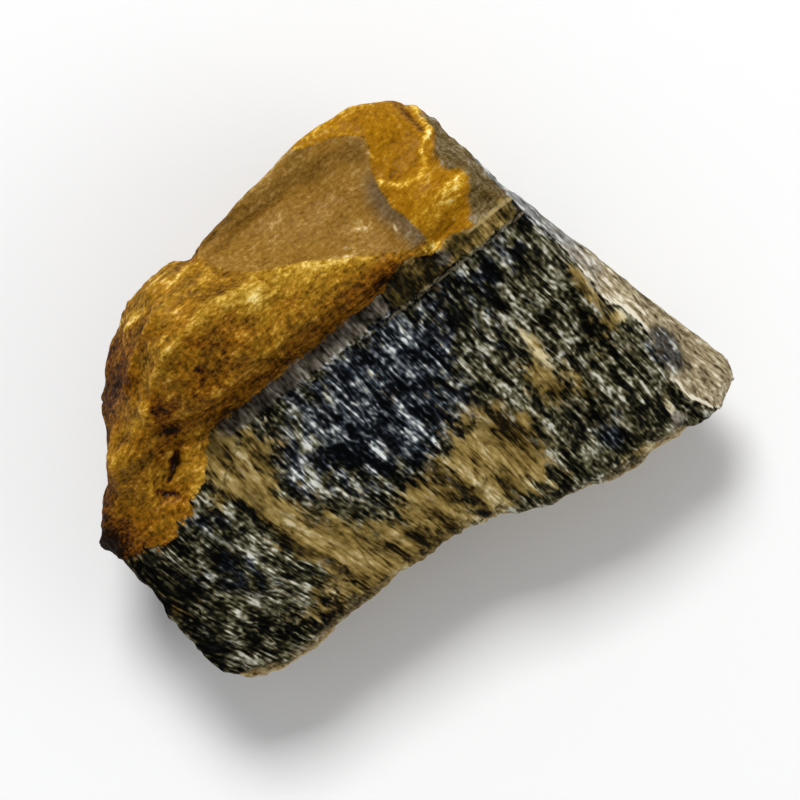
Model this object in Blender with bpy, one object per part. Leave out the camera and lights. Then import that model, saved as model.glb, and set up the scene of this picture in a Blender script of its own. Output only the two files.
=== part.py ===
"""Rough chunk of tiger's eye: one piece broken out of a seam of fibrous quartz.

The fibres run across the seam, along Y.  The seam's length runs along X.  Looked at from above, the
front half is a dark face broken along the fibres, and the back half is a waxy golden cap: a rounded
mound on the left, a crest that falls to the right, and a smooth scoop behind the crest.  A slanted
pale rim closes the right end.  The stone rests on a flat facet underneath.

The upper surface is a net stretched between feature lines that run from the left end to the right
end.  Every line is a short list of points in millimetres, (x, y, z), and its last two points are
the inner and the outer edge of the rim.
"""

import math

import bmesh
import bpy
import numpy as np
from mathutils import Vector, noise

MM = 0.001

# Driving dimensions, millimetres
LENGTH = 52.6
WIDTH = 40.6
HEIGHT = 25.0

# Net of the upper surface: columns from the left end to the rim, and across the rim
BODY_COLUMNS = 62
RIM_COLUMNS = 4

# Side walls: rows from the upper edge to the foot, and the share by which the foot draws in
WALL_ROWS = 10
FOOT_INSET = 0.09

# How far the feature lines are rounded between their points: 0 is straight runs, 1 a full curve
SOFTNESS = 0.65

# Feature lines, front to back
FRONT_EDGE = [
    (-23.2, -13.2, 10.5), (-20.0, -14.4, 11.5), (-14.0, -14.5, 12.0), (-8.0, -14.1, 12.6),
    (0.0, -14.6, 13.0), (4.2, -16.2, 13.0), (7.0, -17.6, 12.8), (9.4, -18.2, 12.6),
    (14.6, -19.7, 12.0), (19.0, -20.3, 11.6), (23.0, -20.5, 11.0), (26.0, -19.3, 9.2),
]
LIP = [
    (-25.0, -11.0, 11.8), (-18.0, -12.4, 13.0), (-8.0, -12.2, 13.8), (0.0, -12.6, 14.2),
    (9.4, -15.8, 13.6), (16.0, -17.4, 13.2), (21.4, -17.0, 13.0), (26.9, -17.4, 9.4),
]
MIDFACE = [
    (-25.3, -6.5, 13.0), (-20.0, -6.5, 14.4), (-14.0, -6.6, 15.2), (-8.0, -6.4, 15.2),
    (0.0, -6.5, 15.8), (10.0, -7.0, 15.4), (20.6, -7.5, 15.2), (24.5, -8.2, 11.4),
]
LEDGE_FOOT = [
    (-25.3, -0.6, 13.4), (-20.0, -0.4, 15.4), (-15.0, 1.0, 16.4), (-11.0, 3.4, 16.8),
    (-5.0, 3.9, 16.9), (4.0, 3.9, 16.8), (13.0, 3.9, 16.7), (19.8, 3.8, 16.6), (21.5, 3.8, 13.8),
]
LEDGE_TOP = [
    (-25.5, 0.4, 13.4), (-20.0, 0.3, 15.8), (-15.0, 1.7, 17.0), (-11.0, 4.0, 17.2),
    (-5.0, 4.4, 17.4), (4.0, 4.3, 17.5), (13.0, 4.3, 17.6), (19.7, 4.2, 17.5), (21.2, 4.3, 14.2),
]
VALLEY = [
    (-25.5, 2.4, 13.0), (-22.0, 1.4, 15.2), (-18.5, 1.9, 16.6), (-15.0, 3.7, 17.4),
    (-12.0, 5.9, 17.6), (-5.0, 6.0, 17.5), (4.0, 6.1, 17.6), (11.0, 6.0, 18.0),
    (15.0, 6.0, 18.2), (19.5, 6.0, 18.0), (20.8, 6.3, 14.8),
]
SHOULDER = [
    (-26.6, 4.5, 12.2), (-24.4, 4.5, 13.8), (-20.0, 6.0, 17.2), (-16.2, 7.0, 18.0),
    (-12.0, 8.3, 21.2), (-6.0, 8.3, 22.2), (0.0, 8.1, 21.3), (4.0, 7.6, 20.2),
    (8.0, 6.9, 18.9), (11.0, 6.7, 18.6), (15.0, 8.0, 19.0), (19.2, 8.4, 18.2), (20.4, 8.8, 15.0),
]
CREST = [
    (-24.4, 6.1, 12.8), (-21.0, 8.5, 17.4), (-18.0, 9.9, 19.4), (-15.0, 10.8, 21.4),
    (-12.0, 13.2, 24.0), (-8.0, 13.8, 25.0), (-5.0, 14.4, 24.6), (-2.6, 13.9, 23.7),
    (1.2, 12.1, 22.3), (4.0, 10.8, 21.2), (7.0, 9.0, 20.0), (9.5, 7.9, 19.2),
    (12.0, 9.8, 19.5), (15.0, 11.2, 19.8), (18.4, 11.2, 18.4), (19.9, 11.4, 15.2),
]
SCOOP = [
    (-22.2, 7.8, 12.4), (-18.8, 11.7, 16.4), (-14.0, 14.8, 21.2), (-9.0, 16.8, 23.2),
    (-5.0, 16.6, 22.4), (-1.0, 15.9, 20.8), (3.0, 15.0, 20.0), (8.0, 14.2, 19.0),
    (11.0, 14.2, 18.9), (14.0, 15.0, 19.2), (17.4, 14.6, 18.0), (19.8, 14.7, 14.8),
]
BROW = [
    (-20.9, 10.1, 11.8), (-17.9, 13.9, 14.8), (-13.2, 16.9, 19.0), (-8.5, 18.3, 21.2),
    (-4.5, 17.7, 20.4), (-1.0, 17.7, 19.2), (4.0, 17.8, 18.7), (8.0, 17.6, 18.4),
    (11.5, 18.0, 18.5), (14.0, 18.0, 18.4), (17.1, 17.2, 16.8), (19.3, 16.4, 14.2),
]
BACK_EDGE = [
    (-19.8, 11.5, 9.6), (-18.3, 14.4, 10.6), (-16.2, 16.4, 12.2), (-12.4, 18.9, 15.0),
    (-9.4, 19.7, 16.6), (-6.2, 19.6, 17.8), (-4.6, 18.8, 19.0), (-2.8, 19.3, 19.3), (0.9, 19.8, 19.4),
    (5.0, 20.2, 19.3), (8.7, 20.8, 18.8), (12.0, 20.7, 18.0), (15.1, 20.3, 17.0), (17.3, 19.0, 15.4),
    (18.7, 17.5, 13.6),
]

# Bands of the net: the line a band starts from, its rows, and how far its middle swells, millimetres
BANDS = [
    (FRONT_EDGE, 2, 0.35), (LIP, 6, 0.0), (MIDFACE, 6, 0.0), (LEDGE_FOOT, 1, 0.0),
    (LEDGE_TOP, 2, 0.0), (VALLEY, 4, -0.3), (SHOULDER, 4, 0.35), (CREST, 3, -0.25),
    (SCOOP, 3, -0.15), (BROW, 3, 0.25),
]
LAST_LINE = BACK_EDGE

# Hollows and knobs of the upper surface: x, y, radii along and across, turn in degrees, height
DENTS = [
    (-17.0, 6.0, 1.6, 0.6, 12.0, -1.0),
    (-18.5, 4.1, 1.3, 0.5, -45.0, -0.4),
    (-14.7, 8.3, 1.2, 2.0, 0.0, -0.8),
    (-17.6, 8.0, 1.8, 1.3, -10.0, 0.4),
    (-25.0, 4.2, 1.3, 1.2, 0.0, 0.7),
    (-20.2, 2.7, 2.0, 0.8, 10.0, 0.5),
    (-15.2, 4.8, 1.8, 0.9, 20.0, 0.7),
    (5.5, 14.6, 5.5, 2.4, -8.0, -0.4),
    (14.7, 14.2, 2.9, 2.0, 12.0, -0.8),
    (14.5, 9.0, 2.8, 2.2, 0.0, 0.4),
    (-5.9, -2.7, 1.8, 2.4, -15.0, -1.0),
    (-12.6, -10.6, 2.2, 1.6, 20.0, 0.6),
    (13.5, -12.0, 2.4, 3.4, 0.0, -0.5),
    (0.5, -3.5, 2.0, 3.0, 0.0, -0.4),
    (18.4, -18.4, 2.0, 0.8, -5.0, 0.5),
    (21.3, -18.6, 0.9, 0.6, 0.0, -0.7),
]

# Flat breaks of the side walls: the way each faces, in degrees from +X, how far it leans in towards
# the foot, in degrees, and how far out it stands at FACET_LEVEL above the foot
FACET_LEVEL = 10.0
FACETS = [
    (12.0, 14.0, 22.8), (38.0, 30.0, 24.6), (-22.0, 34.0, 31.0), (-50.0, 28.0, 31.2),
    (-76.0, 15.0, 24.4), (-98.0, 26.0, 17.8), (-128.0, 26.0, 24.6), (-160.0, 14.0, 27.2),
    (172.0, 34.0, 26.2), (148.0, 14.0, 24.3), (126.0, 30.0, 22.3), (102.0, 12.0, 20.8),
    (80.0, 28.0, 21.0), (60.0, 18.0, 24.6),
    (0.0, 58.0, 33.0), (48.0, 55.0, 35.0), (95.0, 58.0, 31.0), (150.0, 57.0, 34.0),
    (-170.0, 58.0, 36.0), (-110.0, 56.0, 29.5), (-60.0, 57.0, 39.0),
]


def line_at(line, x):
    """(y, z) of a feature line at the places x: straight runs mixed with a cubic through the points."""
    px, py, pz = np.array(line).T
    gap = np.diff(px)
    i = np.clip(np.searchsorted(px, x, side="right") - 1, 0, len(gap) - 1)
    t = np.clip((x - px[i]) / gap[i], 0.0, 1.0)
    found = []
    for values in (py, pz):
        step = np.diff(values) / gap
        slope = np.concatenate([step[:1], (step[:-1] + step[1:]) / 2, step[-1:]])
        start = (1 + 2 * t) * (1 - t) ** 2 * values[i] + t * (1 - t) ** 2 * gap[i] * slope[i]
        end = t * t * (3 - 2 * t) * values[i + 1] - t * t * (1 - t) * gap[i] * slope[i + 1]
        straight = values[i] * (1 - t) + values[i + 1] * t
        found.append(SOFTNESS * (start + end) + (1 - SOFTNESS) * straight)
    return found


def line_row(line):
    """A feature line read at every column of the net: the body's columns, then the straight rim."""
    left, inner, outer = line[0], line[-2], line[-1]
    x = np.linspace(left[0], inner[0], BODY_COLUMNS + 1)
    y, z = line_at(line[:-1], x)
    body = np.stack([x, y, z], axis=1)
    rim = np.linspace(inner, outer, RIM_COLUMNS + 1)[1:]
    return np.concatenate([body, rim])


def upper_net():
    """Rows of points from the front edge to the back edge, the bands' middles swollen upwards."""
    lines = [band[0] for band in BANDS] + [LAST_LINE]
    rows = []
    for (line, count, swell), following in zip(BANDS, lines[1:]):
        near, far = line_row(line), line_row(following)
        for step in range(count):
            t = step / count
            row = near * (1 - t) + far * t
            row[:, 2] += swell * 4 * t * (1 - t)
            rows.append(row)
    rows.append(line_row(LAST_LINE))
    return np.array(rows)


def rough(x, y, z, scale_x, scale_y, seed):
    """Smooth noise of about -1 to 1, stretched along each axis by its own scale."""
    return noise.noise(Vector((x / scale_x, y / scale_y, z / scale_x + seed)))


def fade(value, low, high):
    """0 below low, 1 above high, and a smooth rise between."""
    t = min(max((value - low) / (high - low), 0.0), 1.0)
    return t * t * (3 - 2 * t)


def boundary_y(x):
    """Where the fibre face ends and the golden cap begins."""
    return float(line_at(VALLEY, np.array([x]))[0][0])


def dents(x, y):
    """Sum of the hollows and knobs, each a turned oval with a flat middle and a short slope."""
    total = 0.0
    for cx, cy, along, across, turn, height in DENTS:
        c, s = math.cos(math.radians(turn)), math.sin(math.radians(turn))
        u = ((x - cx) * c + (y - cy) * s) / along
        v = (-(x - cx) * s + (y - cy) * c) / across
        total += height * math.exp(-((u * u + v * v) ** 1.5))
    return total


def terraced(value, steps):
    """The value from -1 to 1 cut into flat treads with steep risers, as splinters break."""
    scaled = value * steps
    tread = math.floor(scaled)
    return (tread + fade(scaled - tread, 0.35, 0.65)) / steps


def relief(x, y):
    """Height added to the upper surface: splinter ribs on the fibre face, lumps on the cap."""
    cap = fade(y - boundary_y(x), -0.3, 0.8)
    smooth_scoop = fade(x, -3.0, 0.0) * fade(y, 9.5, 11.5)
    ribs = 0.9 * terraced(rough(x, y, 0.0, 3.0, 7.0, 3.0), 3) + 0.3 * rough(x, y, 0.0, 1.3, 6.0, 8.0)
    ribs += 0.5 * rough(x, y, 0.0, 6.0, 4.0, 21.0)
    lumps = 0.5 * rough(x, y, 0.0, 4.2, 2.6, 5.0) + 0.25 * rough(x, y, 0.0, 2.0, 1.3, 13.0)
    lumps *= 1.0 - 0.8 * smooth_scoop
    return ribs * (1 - cap) + lumps * cap + dents(x, y)


def roughen(net):
    """Shift every point a little in plan, and lift the inner ones by the relief."""
    last_row, last_column = net.shape[0] - 1, net.shape[1] - 1
    for j in range(last_row + 1):
        for i in range(last_column + 1):
            x, y, z = net[j, i]
            from_border = min(j, last_row - j, i, last_column - i)
            net[j, i, 0] += 0.35 * rough(x, y, z, 3.2, 3.2, 61.0) + 0.12 * rough(x, y, z, 1.2, 1.2, 67.0)
            net[j, i, 1] += 0.30 * rough(x, y, z, 3.6, 3.6, 71.0) + 0.12 * rough(x, y, z, 1.2, 1.2, 77.0)
            net[j, i, 2] += relief(x, y) * fade(from_border, -1.0, 2.0)


def border(net):
    """The net's border points, anticlockwise from the front left corner, as (row, column)."""
    last_row, last_column = net.shape[0] - 1, net.shape[1] - 1
    front = [(0, i) for i in range(last_column)]
    right = [(j, last_column) for j in range(last_row)]
    back = [(last_row, i) for i in range(last_column, 0, -1)]
    left = [(j, 0) for j in range(last_row, 0, -1)]
    return front + right + back + left


def wall_point(edge, share):
    """A point of the side wall, at a share of the way from the upper edge down to the foot.

    The point is drawn in towards the stone's axis by the foot's inset and by scallops, and then
    as far as the broken facets ask.
    """
    x, y, z = edge[0], edge[1], edge[2] * (1 - share)
    scallops = 1.0 + 1.3 * rough(x, y, z, 6.0, 6.0, 31.0) + 0.7 * rough(x, y, z, 2.4, 2.4, 47.0)
    inset = FOOT_INSET * share ** 2 + 0.030 * scallops * fade(share, 0.0, 0.25)
    out = math.hypot(x, y)
    reach = out * (1 - inset)
    for azimuth, lean, middle_reach in FACETS:
        toward = math.cos(math.atan2(y, x) - math.radians(azimuth))
        limit = middle_reach + (z - FACET_LEVEL) * math.tan(math.radians(lean))
        if toward > 0.3:
            reach = min(reach, limit / toward)
    reach += 0.3 * rough(x, y, z, 1.8, 1.8, 83.0) * fade(share, 0.0, 0.15)
    return x / out * reach, y / out * reach, z


def stone_mesh():
    """The closed skin: the upper net, the side walls hung from its border, and the flat foot."""
    net = upper_net()
    roughen(net)
    bm = bmesh.new()
    verts = [[bm.verts.new(point) for point in row] for row in net]
    for near, far in zip(verts, verts[1:]):
        for i in range(len(near) - 1):
            bm.faces.new((near[i], near[i + 1], far[i + 1], far[i]))
    ring = border(net)
    upper = [verts[j][i] for j, i in ring]
    for row in range(1, WALL_ROWS + 1):
        share = row / WALL_ROWS
        lower = [bm.verts.new(wall_point(net[j, i], share)) for j, i in ring]
        for k in range(len(ring)):
            after = (k + 1) % len(ring)
            bm.faces.new((upper[k], lower[k], lower[after], upper[after]))
        upper = lower
    bm.faces.new(list(reversed(upper)))
    bmesh.ops.recalc_face_normals(bm, faces=bm.faces)
    return bm


def fit_to_size(bm):
    """Scale to the driving dimensions, in metres, with the middle of the footprint over the origin."""
    points = np.array([vert.co for vert in bm.verts])
    low, high = points.min(axis=0), points.max(axis=0)
    middle = (low + high) / 2
    scale = np.array([LENGTH, WIDTH, HEIGHT]) / (high - low) * MM
    for vert, point in zip(bm.verts, points):
        centred = point - (middle[0], middle[1], low[2])
        vert.co = Vector(centred * scale)


def stone_material():
    """Plain golden brown quartz with a waxy gloss."""
    material = bpy.data.materials.new("tigers_eye")
    material.use_nodes = True
    shader = material.node_tree.nodes["Principled BSDF"]
    shader.inputs["Base Color"].default_value = (0.18, 0.10, 0.03, 1.0)
    shader.inputs["Roughness"].default_value = 0.45
    shader.inputs["Metallic"].default_value = 0.0
    return material


def build_stone():
    """The stone as one object, standing on its foot over the origin."""
    bm = stone_mesh()
    fit_to_size(bm)
    mesh = bpy.data.meshes.new("tigers_eye_stone")
    bm.to_mesh(mesh)
    bm.free()
    mesh.materials.append(stone_material())
    mesh.shade_smooth()
    mesh.set_sharp_from_angle(angle=math.radians(35))
    stone = bpy.data.objects.new("tigers_eye_stone", mesh)
    bpy.context.scene.collection.objects.link(stone)
    return stone


for old in list(bpy.data.objects):
    bpy.data.objects.remove(old, do_unlink=True)
build_stone()
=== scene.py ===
import math

import bmesh
import bpy
import numpy as np
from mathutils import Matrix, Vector


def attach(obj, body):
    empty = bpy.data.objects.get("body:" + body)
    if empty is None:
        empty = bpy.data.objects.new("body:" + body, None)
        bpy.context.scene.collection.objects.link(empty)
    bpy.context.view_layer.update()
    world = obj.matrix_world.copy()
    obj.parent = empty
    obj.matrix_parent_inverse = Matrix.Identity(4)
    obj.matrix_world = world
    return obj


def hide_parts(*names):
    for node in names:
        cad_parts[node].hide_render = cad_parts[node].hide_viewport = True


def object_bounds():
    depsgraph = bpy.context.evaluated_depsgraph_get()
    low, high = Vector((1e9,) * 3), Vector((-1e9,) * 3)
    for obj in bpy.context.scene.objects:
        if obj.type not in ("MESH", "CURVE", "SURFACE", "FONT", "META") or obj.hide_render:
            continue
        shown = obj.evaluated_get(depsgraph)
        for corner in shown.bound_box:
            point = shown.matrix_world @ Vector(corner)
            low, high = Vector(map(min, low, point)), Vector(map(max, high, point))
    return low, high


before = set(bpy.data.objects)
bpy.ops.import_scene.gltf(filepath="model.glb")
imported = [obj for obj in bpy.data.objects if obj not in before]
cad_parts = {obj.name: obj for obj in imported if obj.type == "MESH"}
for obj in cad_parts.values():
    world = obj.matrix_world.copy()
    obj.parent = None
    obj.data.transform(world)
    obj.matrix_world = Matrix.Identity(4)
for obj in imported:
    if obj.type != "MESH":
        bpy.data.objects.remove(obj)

cad_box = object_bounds()
MM = 0.001

# ---------------------------------------------------------------- view
# The stone lies on a pale table and is looked at from straight above, turned so that its golden
# cap points up and to the left.  The view takes in a square of table with the side VIEW_SIDE.

TURN = math.radians(38.5)
VIEW_SIDE = 0.0690
CAMERA_HEIGHT = 0.42
LOOK_AT = Vector((0.0018, -0.0022, 0.010))

lens = bpy.data.cameras.new("camera")
lens.sensor_width = 36.0
lens.lens = lens.sensor_width * CAMERA_HEIGHT / VIEW_SIDE
lens.clip_start = 0.01
camera = bpy.data.objects.new("camera", lens)
camera.location = LOOK_AT + Vector((0.0, 0.0, CAMERA_HEIGHT))
camera.rotation_euler = (0.0, 0.0, -TURN)
bpy.context.scene.collection.objects.link(camera)
bpy.context.scene.camera = camera

# The table top: a wide pale sheet, a hair under the stone
TABLE_REACH = 0.6
TABLE_GAP = 0.00005
TABLE_WHITE = (0.93, 0.93, 0.925, 1.0)
sheet = bpy.data.meshes.new("table")
corners = [(-1, -1), (1, -1), (1, 1), (-1, 1)]
sheet.from_pydata([(x * TABLE_REACH, y * TABLE_REACH, 0.0) for x, y in corners], [], [(0, 1, 2, 3)])
paper = bpy.data.materials.new("pale_table")
paper.use_nodes = True
paper_shader = paper.node_tree.nodes["Principled BSDF"]
paper_shader.inputs["Base Color"].default_value = TABLE_WHITE
paper_shader.inputs["Roughness"].default_value = 0.9
sheet.materials.append(paper)
table = bpy.data.objects.new("table", sheet)
table.location.z = -TABLE_GAP
bpy.context.scene.collection.objects.link(table)


def softbox(name, toward, distance, size, watts):
    """A square lamp that shines at the stone from a direction (x, y, z)."""
    lamp = bpy.data.lights.new(name, "AREA")
    lamp.size = size
    lamp.energy = watts
    body = bpy.data.objects.new(name, lamp)
    direction = Vector(toward).normalized()
    body.location = LOOK_AT + direction * distance
    body.rotation_euler = direction.to_track_quat("Z", "Y").to_euler()
    bpy.context.scene.collection.objects.link(body)


# A crisp key lamp beyond the golden cap, a weak one from the rim's side, and a dim even sky
softbox("key", toward=(0.35, 0.80, 1.10), distance=1.4, size=0.5, watts=15.6)
softbox("fill", toward=(0.9, -0.9, 0.9), distance=1.2, size=0.8, watts=2.0)
sky = bpy.data.worlds.new("sky")
sky.use_nodes = True
glow_of_sky = sky.node_tree.nodes["Background"]
glow_of_sky.inputs["Color"].default_value = (0.97, 0.98, 1.0, 1.0)
glow_of_sky.inputs["Strength"].default_value = 0.40
bpy.context.scene.world = sky
bpy.context.scene.view_settings.view_transform = "Standard"

# ---------------------------------------------------------------- stone: shape
# One broken piece of tiger's eye.  The broken form is the CAD solid's.  Here its skin is made fine
# enough for splinters, crumbs and chips, and those are pressed into it along its normals.

SUBDIVISIONS = 2
MERGE_GAP = 1e-6
PAIR_ANGLE = math.radians(60)
SHARP_ANGLE = math.radians(28)
SHARPNESS = 0.65


def fine_skin(node):
    """A copy of the node's skin: doubles merged, triangles paired into squares, then divided.

    Dividing rounds the skin a little; its sharp broken edges are creased so that they stay.
    """
    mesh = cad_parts[node].data.copy()
    bm = bmesh.new()
    bm.from_mesh(mesh)
    bmesh.ops.remove_doubles(bm, verts=bm.verts, dist=MERGE_GAP)
    bmesh.ops.join_triangles(
        bm, faces=bm.faces, angle_face_threshold=PAIR_ANGLE, angle_shape_threshold=PAIR_ANGLE
    )
    crease = bm.edges.layers.float.new("crease_edge")
    for edge in bm.edges:
        if edge.calc_face_angle(0.0) > SHARP_ANGLE:
            edge[crease] = SHARPNESS
    bm.to_mesh(mesh)
    bm.free()
    mesh.materials.clear()
    piece = bpy.data.objects.new("rough_stone", mesh)
    bpy.context.scene.collection.objects.link(piece)
    smooth = piece.modifiers.new("smooth", "SUBSURF")
    smooth.levels = SUBDIVISIONS
    smooth.render_levels = SUBDIVISIONS
    evaluated = piece.evaluated_get(bpy.context.evaluated_depsgraph_get())
    fine = bpy.data.meshes.new_from_object(evaluated)
    piece.modifiers.clear()
    piece.data = fine
    return piece


def scattered(cells, seed):
    """A random whole number of 31 bits for every cell, from its three whole coordinates."""
    key = (cells * (73856093, 19349663, 83492791)).sum(axis=1) + seed * 4256249
    key = (key ^ (key >> 13)) * 1274126177 & 0x7FFFFFFF
    return (key ^ (key >> 16)) * 668265263 & 0x7FFFFFFF


def grain(places, cell, seed):
    """Smooth noise of about -1 to 1 at places (x, y, z), with a cell size for each axis.

    The eight corners of the cell round a place each hold a random slope.  The slopes' heights at
    the place are mixed with weights that run as 6t^5 - 15t^4 + 10t^3 along each side of the cell.
    """
    scaled = places / np.array(cell) + seed * 7.31
    corner = np.floor(scaled).astype(np.int64)
    inside = scaled - corner
    weight = inside ** 3 * (inside * (inside * 6 - 15) + 10)
    total = np.zeros(len(places))
    for step in np.ndindex(2, 2, 2):
        key = scattered(corner + step, seed)
        around = (key & 0xFFFF) / 0x10000 * 2 * math.pi
        up = (key >> 16 & 0x7FFF) / 0x4000 - 1
        flat = np.sqrt(np.maximum(1 - up * up, 0))
        slope = np.stack([flat * np.cos(around), flat * np.sin(around), up], axis=1)
        share = np.where(step, weight, 1 - weight).prod(axis=1)
        total += share * (slope * (inside - step)).sum(axis=1)
    return total * 1.6


def chips(places, cell, seed):
    """Shallow bowls with crisp ridges between them, about -0.2 to 0.6, as a chipped face has.

    Every cell of a grid holds one centre at a random place.  The height is the squared distance in
    cells from the nearest centre, less 0.25.
    """
    scaled = places / np.array(cell) + seed * 7.31
    corner = np.floor(scaled).astype(np.int64)
    nearest = np.full(len(places), 9.0)
    for step in np.ndindex(3, 3, 3):
        around = corner + step - 1
        key = scattered(around, seed)
        centre = around + np.stack([key & 0x3FF, key >> 10 & 0x3FF, key >> 20 & 0x3FF], axis=1) / 0x400
        nearest = np.minimum(nearest, ((scaled - centre) ** 2).sum(axis=1))
    return nearest - 0.25


def rise(value, low, high):
    """0 below low, 1 above high, and 3t^2 - 2t^3 between."""
    t = np.clip((value - low) / (high - low), 0, 1)
    return t * t * (3 - 2 * t)


def treads(value, steps):
    """A value of -1 to 1 cut into flat treads and steep risers, as splinters break."""
    scaled = value * steps
    whole = np.floor(scaled)
    return (whole + rise(scaled - whole, 0.3, 0.7)) / steps


def spots(places, *ovals):
    """Sum of soft ovals (x, y, radius along, radius across, strength, turn), each falling as e^-d^2."""
    total = np.zeros(len(places))
    for cx, cy, along, across, strength, turn in ovals:
        c, s = math.cos(math.radians(turn)), math.sin(math.radians(turn))
        u = ((places[:, 0] - cx) * c + (places[:, 1] - cy) * s) / along
        v = (-(places[:, 0] - cx) * s + (places[:, 1] - cy) * c) / across
        total += strength * np.exp(-(u * u + v * v))
    return total


def trail(places, path, width):
    """1 on a line through the path's points in plan, falling off as e^-d^2 over its width.

    The width is one number, or one for each point of the path.
    """
    path = np.array(path, float)
    widths = np.broadcast_to(np.array(width, float), len(path))
    best = np.full(len(places), 1e9)
    for start, end, near, far in zip(path, path[1:], widths, widths[1:]):
        run = end - start
        t = np.clip(((places[:, :2] - start) @ run) / (run @ run), 0, 1)
        gap = np.linalg.norm(places[:, :2] - start - t[:, None] * run, axis=1)
        best = np.minimum(best, gap / (near + (far - near) * t))
    return np.exp(-best * best)


def across(value, *points):
    """A broken line read at every value; its points are (value, result)."""
    places, results = np.array(points).T
    return np.interp(value, places, results)


stone = fine_skin("tigers_eye_stone")
skin = stone.data
count = len(skin.vertices)


def read_skin():
    """The skin's points in millimetres and its normals."""
    points = np.empty(count * 3)
    skin.vertices.foreach_get("co", points)
    normals = np.empty(count * 3)
    skin.vertex_normals.foreach_get("vector", normals)
    return points.reshape(-1, 3) / MM, normals.reshape(-1, 3)


points, normals = read_skin()
x, y, z = points.T

# All places from here on are (x, y) in millimetres, seen from above.
# How far a point lies inside the golden cap, and inside the rim at the right end
cap = y - across(
    x, (-26.0, 2.2), (-23.6, 1.5), (-22.0, 0.8), (-20.8, 0.3), (-19.6, 1.2), (-18.4, 1.5), (-16.6, 2.1),
    (-15.2, 3.0), (-13.8, 4.6), (-12.4, 5.8), (6.4, 5.9), (7.6, 6.4), (9.0, 6.8), (10.4, 6.4),
    (11.4, 5.8), (12.6, 5.8), (14.2, 6.0), (15.3, 5.5), (20.0, 5.8), (27.0, 6.0),
)
rim = x - across(
    y, (-20.5, 23.0), (-17.6, 21.3), (-15.0, 21.1), (-12.6, 21.4), (-11.2, 22.0), (-7.8, 21.6),
    (-6.8, 20.9), (-5.2, 20.6), (-2.6, 20.8), (0.0, 20.7), (3.6, 20.0), (6.0, 19.7), (10.0, 19.6),
    (14.0, 19.2), (18.0, 18.6),
)
# The smooth scoop behind the crest, the brown strip behind it, the orange patch beside it, and the
# grey patch between that and the rim
crest_y = across(
    x, (-5.0, 18.9), (-3.6, 16.0), (-1.2, 13.6), (1.6, 12.1), (3.2, 11.2), (6.6, 9.2), (10.5, 6.8),
)
strip_y = across(
    x, (-5.0, 19.0), (-2.0, 17.9), (1.0, 17.5), (4.5, 17.4), (7.0, 18.0), (9.0, 18.8), (14.0, 20.0),
)
patch_x = across(
    y, (6.0, 12.0), (7.0, 12.1), (9.0, 11.9), (11.0, 11.4), (13.0, 11.6), (14.4, 12.0), (16.2, 13.1),
    (17.2, 13.2), (18.0, 12.4), (18.8, 11.0), (19.6, 8.5), (20.6, 7.0),
)
patch_end = across(
    y, (6.0, 16.0), (7.0, 16.8), (8.2, 17.5), (9.0, 18.1), (9.8, 18.0), (10.6, 17.0), (12.6, 17.1),
    (13.3, 18.2), (16.8, 18.4), (18.0, 17.6),
)
scoop = rise(y - crest_y, -0.1, 0.6) * rise(x, -5.0, -2.6) * (1 - rise(x - patch_x, -0.3, 0.3))
strip = rise(y - strip_y, -0.2, 0.5) * rise(x, -4.8, -3.4)
strip *= 1 - 0.7 * rise(y - strip_y, 1.0, 2.2) * rise(x, 2.0, 5.0)
strip = np.maximum(strip, spots(points, (8.8, 17.5, 3.2, 1.1, 1.1, -6), (11.9, 16.5, 1.1, 1.1, 1.0, 0)))
strip *= 1 - rise(x - patch_x, -0.3, 0.3)
orange = rise(x - patch_x, -0.4, 0.4) * (1 - rise(x - patch_end, -0.6, 0.6)) * rise(y, 5.4, 6.0)
grey = rise(x - patch_end, -0.7, 0.6) * rise(y, 5.2, 5.6) * (1 - rise(y, 14.5, 17.5))

# The upward faces, the cap, the rim, and the crusts of the front and of the back.  A brink is where
# the skin turns over the edge of the left shoulder, which looks outward to the upper left.
upper = rise(normals[:, 2], 0.15, 0.5)
on_cap = rise(cap, -0.25, 0.25)
on_rim = rise(rim, -0.15, 0.25) * rise(normals[:, 2], -0.2, 0.2)
front = rise(-normals[:, 1], 0.45, 0.8) * (1 - on_cap) * (1 - rise(z, 11.5, 13.5))
outward = 0.64 * normals[:, 1] - 0.77 * normals[:, 0]
back = rise(np.maximum(normals[:, 1], outward), 0.45, 0.85) * on_cap * (1 - rise(z, 12.0, 17.0))
# The brink takes the back's dark iron crust, partly as painted shade along the shoulder's outer edge
brink_crust_and_shade = (1 - rise(normals[:, 2], 0.0, 0.3)) * rise(outward, 0.3, 0.6) * on_cap
back = np.maximum(back * (1 - rise(normals[:, 2], 0.1, 0.4)), 0.8 * brink_crust_and_shade)

# The fibres run nearly along Y at the right and lean over more and more towards the lower left.
# The lean is how far along X each point is from the top of its own fibre.
down = np.maximum(1.0 - y, 0)
lean = 0.10 * y - 0.34 * (1 - rise(x, -22.0, 12.0)) * np.where(down < 8, down * down / 16, down - 4)
threads = points + lean[:, None] * (1, 0, 0)

# Each relief below is a height in millimetres times noise, given by its cell size and its seed.
# Relief of the fibre face: splinters that step down like broken wood, and fine fibres
splinters = 0.26 * treads(grain(threads, (1.3, 6.5, 1.3), 1), 3)
splinters += 0.16 * treads(grain(threads, (0.7, 3.4, 0.7), 2), 2)
fibres = 0.11 * grain(threads, (0.42, 2.6, 0.42), 3) + 0.08 * grain(threads, (0.3, 1.5, 0.3), 4)
snags = 0.16 * grain(points, (1.5, 1.2, 1.5), 5)
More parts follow.
